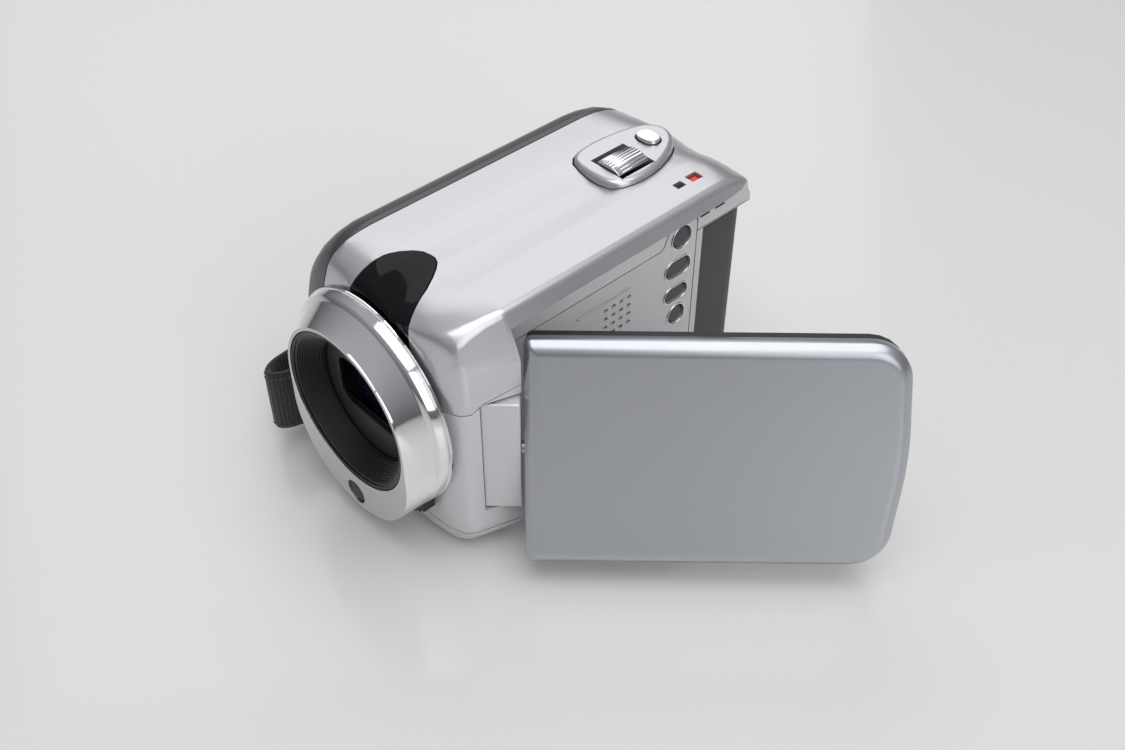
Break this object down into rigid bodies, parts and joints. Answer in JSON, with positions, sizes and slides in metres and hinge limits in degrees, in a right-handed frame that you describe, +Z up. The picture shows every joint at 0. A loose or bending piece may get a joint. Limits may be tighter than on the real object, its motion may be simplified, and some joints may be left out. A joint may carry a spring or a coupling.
{
  "type": "palm-sized camcorder with flip-out screen",
  "caption": "Palm-sized silver camcorder with a round lens ring, a flip-out side screen on a two-axis hinge, a hand strap and a removable battery.",
  "frame": {"origin": "on the flat base, midway between the tripod socket and its anti-twist hole", "axes": "+Z up from the base, the lens looks along -Y, the screen is on the +X side and the hand strap on the -X side"},
  "size_m": [0.1305, 0.0991, 0.0632],
  "materials": {
    "silver_paint": "metallic silver paint, satin gloss",
    "gunmetal_paint": "dark grey metallic paint",
    "plate_grey": "light grey, fine satin",
    "chrome": "polished",
    "brushed_cover": "satin brushed",
    "matte_black": "matt",
    "gloss_black": "gloss",
    "battery_grey": "fine matt grain",
    "lens_glass": "coated, clear",
    "steel": "plain",
    "board_green": "solder mask",
    "brass": "plated contacts",
    "webbing": "woven nylon",
    "red_lamp": "translucent red",
    "dark_button": "dark metallic"
  },
  "bodies": {
    "camera_body": {"top_cover": "silver_paint", "right_cover": "gunmetal_paint", "front_cover": "plate_grey", "bottom_cover": "plate_grey", "rear_cover": "plate_grey", "lens_ring": "chrome", "ir_window": "gloss_black", "lens_hood": "matte_black", "barrier_plate": "matte_black", "lens_barrel": "matte_black", "front_lens": "lens_glass", "zoom_lens": "lens_glass", "focus_lens": "lens_glass", "image_sensor": "board_green", "lamp_window": "gloss_black", "zoom_panel": "silver_paint", "access_lamp": "matte_black", "charge_lamp": "red_lamp", "side_plate": "plate_grey", "speaker": "matte_black", "battery_terminals": "brass", "power_jack": "matte_black", "data_socket": "steel", "tripod_socket": "steel", "card_socket": "steel", "base_screw_1": "steel", "base_screw_2": "steel", "base_screw_3": "steel", "base_screw_4": "steel", "hard_disk": "steel", "main_board": "board_green", "inner_frame": "steel", "microphone": "matte_black", "swing_pin": "steel", "grip_strap": "webbing", "grip_pad": "webbing", "strap_lug_front": "matte_black", "strap_lug_rear": "matte_black"},
    "lcd_hinge": {"hinge_block": "plate_grey"},
    "lcd_tilt_shaft": {"tilt_shaft": "steel"},
    "lcd_panel": {"lcd_cover": "brushed_cover", "lcd_bezel": "matte_black", "lcd_screen": "gloss_black", "lcd_module": "steel"},
    "zoom_lever": {"zoom_lever": "chrome"},
    "snapshot_button": {"snapshot_button": "chrome"},
    "record_button": {"record_button": "chrome"},
    "power_button": {"power_button": "dark_button"},
    "backlight_button": {"backlight_button": "dark_button"},
    "search_button": {"search_button": "dark_button"},
    "menu_button": {"menu_button": "dark_button"},
    "barrier_switch": {"barrier_switch": "matte_black"},
    "barrier_blade_upper": {"barrier_blade_upper": "dark_button"},
    "barrier_blade_lower": {"barrier_blade_lower": "dark_button"},
    "battery": {"battery": "battery_grey"},
    "battery_latch": {"battery_latch": "matte_black"},
    "jack_cover": {"jack_cover": "matte_black"},
    "card_door": {"card_door": "plate_grey"}
  },
  "joints": [
    {"name": "lcd_swing", "type": "hinge", "parent": "camera_body", "child": "lcd_hinge", "pos_m": [0.0255, -0.03, 0.029], "axis": [0, 0, -1], "range_deg": [-44.3, 45.7]},
    {"name": "lcd_level", "type": "hinge", "parent": "lcd_hinge", "child": "lcd_tilt_shaft", "pos_m": [0.0255, -0.03, 0.029], "axis": [-0.6984, -0.7157, 0], "range_deg": [-15.6, 16.1]},
    {"name": "lcd_tilt", "type": "hinge", "parent": "lcd_tilt_shaft", "child": "lcd_panel", "pos_m": [0.0255, -0.03, 0.029], "axis": [0.6984, 0.7157, 0], "range_deg": [0, 33]},
    {"name": "zoom_lever_turn", "type": "hinge", "parent": "camera_body", "child": "zoom_lever", "pos_m": [0.0054, 0.0258, 0.0572], "axis": [0, 1, 0], "range_deg": [-12, 12], "stiffness_Nm_per_rad": 0.02},
    {"name": "snapshot_button_press", "type": "slide", "parent": "camera_body", "child": "snapshot_button", "axis": [0, 0, -1], "range_m": [0, 0.0008], "stiffness_N_per_m": 400, "springref_m": -0.0004},
    {"name": "record_button_press", "type": "slide", "parent": "camera_body", "child": "record_button", "axis": [0, -1, 0], "range_m": [0, 0.001], "stiffness_N_per_m": 300, "springref_m": -0.0004},
    {"name": "power_button_press", "type": "slide", "parent": "camera_body", "child": "power_button", "axis": [-1, 0, 0], "range_m": [0, 0.0005], "stiffness_N_per_m": 150, "springref_m": -0.0004},
    {"name": "backlight_button_press", "type": "slide", "parent": "camera_body", "child": "backlight_button", "axis": [-1, 0, 0], "range_m": [0, 0.0005], "stiffness_N_per_m": 150, "springref_m": -0.0004},
    {"name": "search_button_press", "type": "slide", "parent": "camera_body", "child": "search_button", "axis": [-1, 0, 0], "range_m": [0, 0.0005], "stiffness_N_per_m": 150, "springref_m": -0.0004},
    {"name": "menu_button_press", "type": "slide", "parent": "camera_body", "child": "menu_button", "axis": [-1, 0, 0], "range_m": [0, 0.0005], "stiffness_N_per_m": 150, "springref_m": -0.0004},
    {"name": "barrier_switch_turn", "type": "hinge", "parent": "camera_body", "child": "barrier_switch", "pos_m": [0, -0.04, 0.0323], "axis": [0, -1, 0], "range_deg": [0, 14]},
    {"name": "upper_blade_close", "type": "slide", "parent": "camera_body", "child": "barrier_blade_upper", "axis": [0, 0, -1], "range_m": [0, 0.0064]},
    {"name": "lower_blade_close", "type": "slide", "parent": "camera_body", "child": "barrier_blade_lower", "axis": [0, 0, 1], "range_m": [0, 0.0064]},
    {"name": "battery_removal", "type": "slide", "parent": "camera_body", "child": "battery", "axis": [0, 1, 0], "range_m": [0, 0.014]},
    {"name": "battery_latch_slide", "type": "slide", "parent": "camera_body", "child": "battery_latch", "axis": [1, 0, 0], "range_m": [0, 0.003], "stiffness_N_per_m": 200, "springref_m": -0.0004},
    {"name": "jack_cover_swing", "type": "hinge", "parent": "camera_body", "child": "jack_cover", "pos_m": [-0.0156, 0.0503, 0.012], "axis": [-1, 0, 0], "range_deg": [0, 95]},
    {"name": "card_door_swing", "type": "hinge", "parent": "camera_body", "child": "card_door", "pos_m": [0.0165, -0.025, 0.0003], "axis": [0, -1, 0], "range_deg": [0, 90]}
  ],
  "couplings": [
    {"joint": "lcd_level", "follows": "lcd_swing", "ratio": 0.34989},
    {"joint": "upper_blade_close", "follows": "barrier_switch_turn", "m_per_rad": 0.025783},
    {"joint": "lower_blade_close", "follows": "barrier_switch_turn", "m_per_rad": 0.025783}
  ]
}
